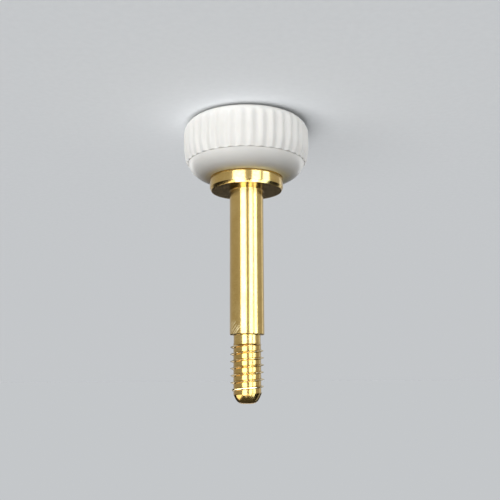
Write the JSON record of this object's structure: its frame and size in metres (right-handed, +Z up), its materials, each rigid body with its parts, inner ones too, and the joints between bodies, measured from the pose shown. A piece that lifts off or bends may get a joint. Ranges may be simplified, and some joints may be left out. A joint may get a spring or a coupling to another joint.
{
  "type": "thumb screw",
  "caption": "Thumb screw: a ribbed white plastic knob on a turned brass stud with a collar, a long plain shank, a relief neck and a short right-hand thread.",
  "frame": {"origin": "the middle of the knob's flat top, on the surface that the screw stands on", "axes": "+Z up, along the screw from the knob to the tip; the ribs have a valley at -Y and at +Y"},
  "size_m": [0.0236, 0.0236, 0.0527],
  "materials": {
    "knob_plastic": "moulded, half gloss",
    "stud_brass": "turned, bright"
  },
  "bodies": {
    "root": {"knob": "knob_plastic", "stud": "stud_brass"}
  },
  "joints": []
}
